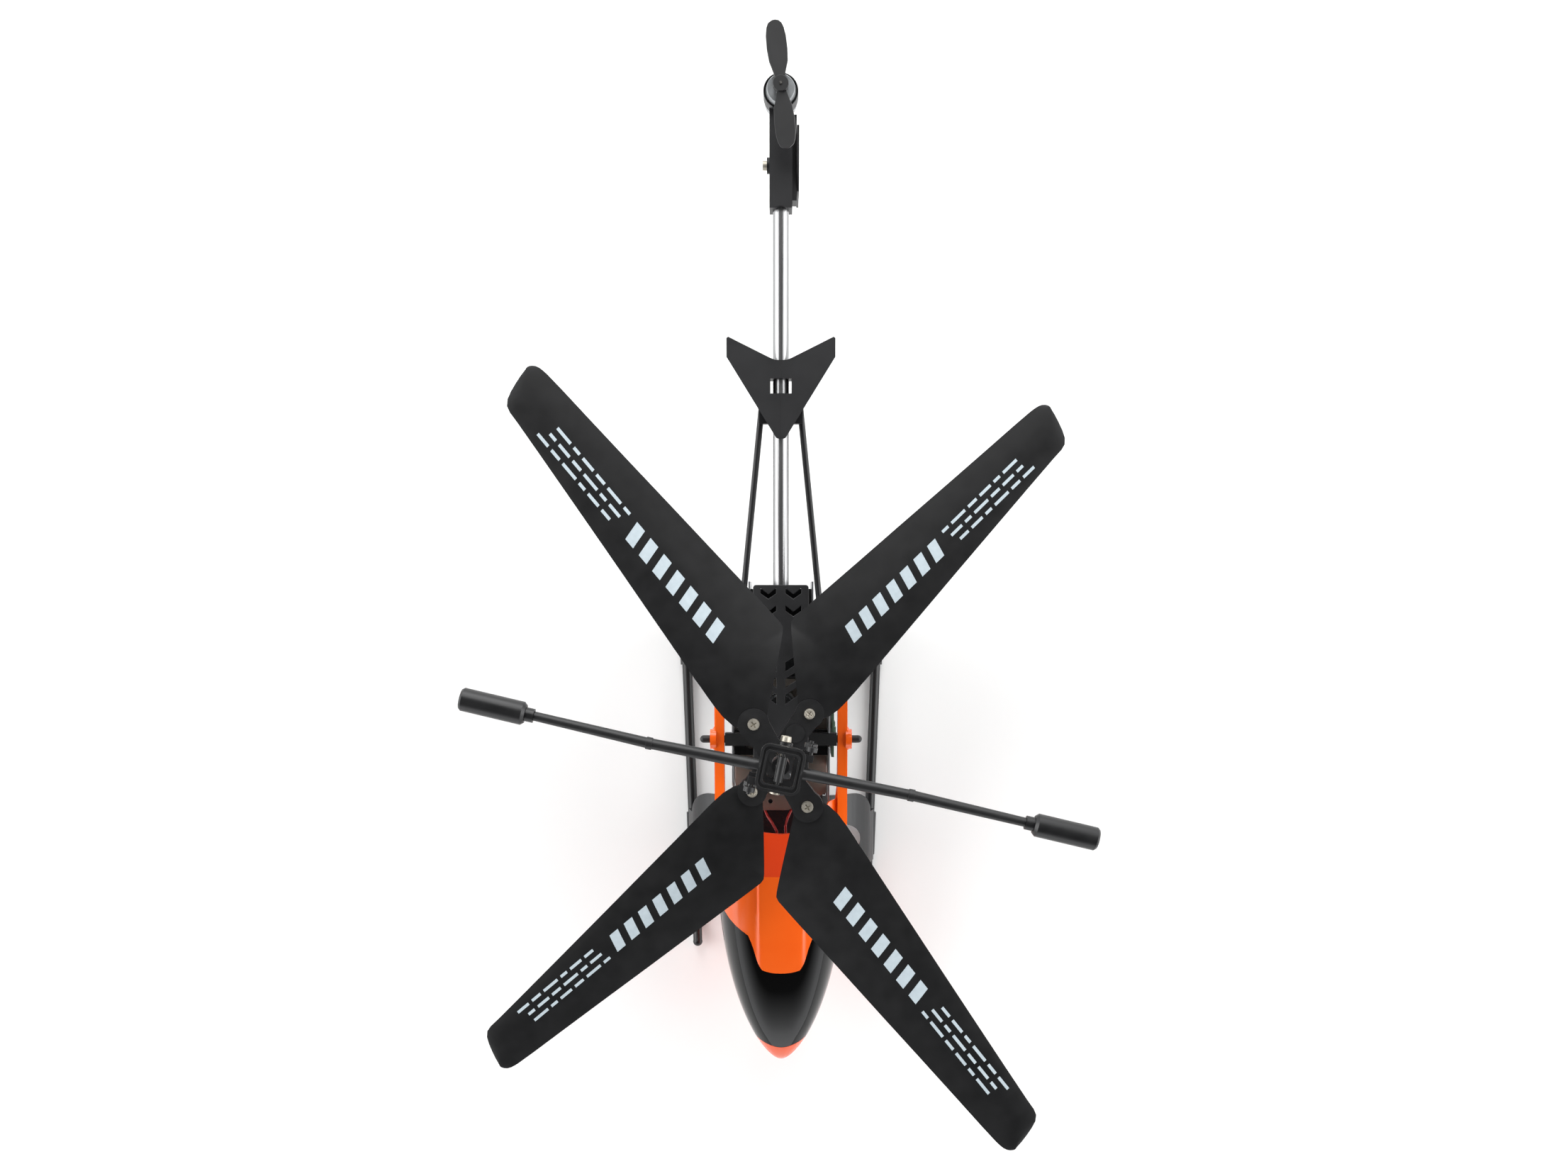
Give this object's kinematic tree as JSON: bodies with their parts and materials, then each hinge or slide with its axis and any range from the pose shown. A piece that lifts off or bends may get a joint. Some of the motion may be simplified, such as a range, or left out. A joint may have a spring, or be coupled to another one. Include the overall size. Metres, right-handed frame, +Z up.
{
  "type": "remote control helicopter",
  "caption": "Coaxial toy helicopter with counter-turning rotors, a weighted flybar, tube tail boom, level tail propeller, canopy and skids.",
  "frame": {"origin": "middle of the bounding box on the floor plane, between the skids", "axes": "+Z up, +Y towards the tail, nose at -Y, +X to the right when seen from above with the tail up"},
  "size_m": [0.3022, 0.562, 0.2225],
  "materials": {
    "black_plastic": "satin moulded nylon",
    "orange_plastic": "glossy moulding",
    "screen_black": "high gloss moulding",
    "aluminium": "brushed",
    "steel": "nickel plated",
    "gear_plastic": "moulded acetal",
    "brass": "machined",
    "board": "solder mask",
    "battery_wrap": "heat-shrunk film",
    "red_lead": "silicone insulation",
    "wire": "thin insulation",
    "white_plastic": "moulded"
  },
  "bodies": {
    "airframe": {"skid_left": "black_plastic", "skid_right": "black_plastic", "front_leg": "black_plastic", "rear_leg": "black_plastic", "belly_tray": "black_plastic", "battery": "battery_wrap", "battery_cover": "black_plastic", "body_screws": "steel", "charge_socket": "black_plastic", "gearbox_base": "black_plastic", "motor_plate": "aluminium", "side_plate_left": "aluminium", "side_plate_right": "aluminium", "frame_screws": "steel", "bearing_block": "black_plastic", "shaft_bearings": "steel", "canopy_crossbar": "black_plastic", "top_cover": "black_plastic", "boom_clamp": "black_plastic", "main_motor_front": "steel", "main_motor_rear": "steel", "boom_tube": "aluminium", "tail_wires": "wire", "stabiliser": "black_plastic", "strut_clamp": "black_plastic", "strut_left": "black_plastic", "strut_right": "black_plastic", "tail_motor_holder": "black_plastic", "tail_holder_screw": "steel", "tail_motor": "steel", "tail_fin": "black_plastic", "circuit_board": "board", "battery_leads": "red_lead", "canopy_shell": "orange_plastic", "canopy_hood": "orange_plastic", "windscreen": "screen_black"},
    "lower_rotor": {"outer_shaft": "steel", "upper_gear": "gear_plastic", "lower_grip": "black_plastic", "lower_blade_screws": "steel"},
    "upper_rotor": {"inner_shaft": "steel", "lower_gear": "gear_plastic", "upper_hub": "black_plastic", "hub_bolt": "steel"},
    "grip": {"upper_grip": "black_plastic", "upper_blade_screws": "steel"},
    "flybar": {"flybar": "black_plastic", "flybar_weights": "black_plastic"},
    "link_left": {"link_left": "black_plastic"},
    "link_right": {"link_right": "black_plastic"},
    "lower_blade_left": {"lower_blade_left": "black_plastic"},
    "lower_blade_right": {"lower_blade_right": "black_plastic"},
    "upper_blade_front": {"upper_blade_front": "black_plastic"},
    "upper_blade_rear": {"upper_blade_rear": "black_plastic"},
    "pinion_front": {"pinion_front": "brass"},
    "pinion_rear": {"pinion_rear": "brass"},
    "tail_rotor": {"tail_propeller": "black_plastic", "tail_motor_shaft": "steel"},
    "switch_knob": {"switch_knob": "white_plastic"}
  },
  "joints": [
    {"name": "upper_rotor_spin", "type": "hinge", "parent": "airframe", "child": "upper_rotor", "pos_m": [0, -0.093, 0.2], "axis": [0, 0, 1], "continuous": true},
    {"name": "lower_rotor_spin", "type": "hinge", "parent": "airframe", "child": "lower_rotor", "pos_m": [0, -0.093, 0.143], "axis": [0, 0, 1], "continuous": true},
    {"name": "front_pinion_spin", "type": "hinge", "parent": "airframe", "child": "pinion_front", "pos_m": [0, -0.1135, 0.066], "axis": [0, 0, 1], "continuous": true},
    {"name": "rear_pinion_spin", "type": "hinge", "parent": "airframe", "child": "pinion_rear", "pos_m": [0, -0.0725, 0.059], "axis": [0, 0, 1], "continuous": true},
    {"name": "flybar_tilt", "type": "hinge", "parent": "upper_rotor", "child": "flybar", "pos_m": [0, -0.093, 0.217], "axis": [0.2045, 0.9789, 0], "range_deg": [-12, 12]},
    {"name": "grip_tilt", "type": "hinge", "parent": "upper_rotor", "child": "grip", "pos_m": [0, -0.093, 0.2], "axis": [0.2045, 0.9789, 0], "range_deg": [-12, 12]},
    {"name": "link_right_swing", "type": "hinge", "parent": "flybar", "child": "link_right", "pos_m": [0.01445, -0.08396, 0.217], "axis": [0.2045, 0.9789, 0], "range_deg": [-12, 12]},
    {"name": "link_left_swing", "type": "hinge", "parent": "flybar", "child": "link_left", "pos_m": [-0.01445, -0.10204, 0.217], "axis": [0.2045, 0.9789, 0], "range_deg": [-12, 12]},
    {"name": "lower_right_fold", "type": "hinge", "parent": "lower_rotor", "child": "lower_blade_right", "pos_m": [0.01471, -0.07291, 0.143], "axis": [0, 0, 1], "range_deg": [-20, 20]},
    {"name": "lower_left_fold", "type": "hinge", "parent": "lower_rotor", "child": "lower_blade_left", "pos_m": [-0.01471, -0.11309, 0.143], "axis": [0, 0, 1], "range_deg": [-20, 20]},
    {"name": "upper_rear_fold", "type": "hinge", "parent": "grip", "child": "upper_blade_rear", "pos_m": [-0.01274, -0.07337, 0.2], "axis": [0, 0, 1], "range_deg": [-20, 20]},
    {"name": "upper_front_fold", "type": "hinge", "parent": "grip", "child": "upper_blade_front", "pos_m": [0.01274, -0.11263, 0.2], "axis": [0, 0, 1], "range_deg": [-20, 20]},
    {"name": "tail_prop_spin", "type": "hinge", "parent": "airframe", "child": "tail_rotor", "pos_m": [0, 0.2482, 0.1164], "axis": [0, 0, 1], "continuous": true},
    {"name": "switch_slide", "type": "slide", "parent": "airframe", "child": "switch_knob", "axis": [1, 0, 0], "range_m": [0, 0.0026]}
  ],
  "couplings": [
    {"joint": "front_pinion_spin", "follows": "lower_rotor_spin", "ratio": -7.2},
    {"joint": "rear_pinion_spin", "follows": "upper_rotor_spin", "ratio": -7.2},
    {"joint": "grip_tilt", "follows": "flybar_tilt", "ratio": 1},
    {"joint": "link_right_swing", "follows": "flybar_tilt", "ratio": -1},
    {"joint": "link_left_swing", "follows": "flybar_tilt", "ratio": -1}
  ]
}
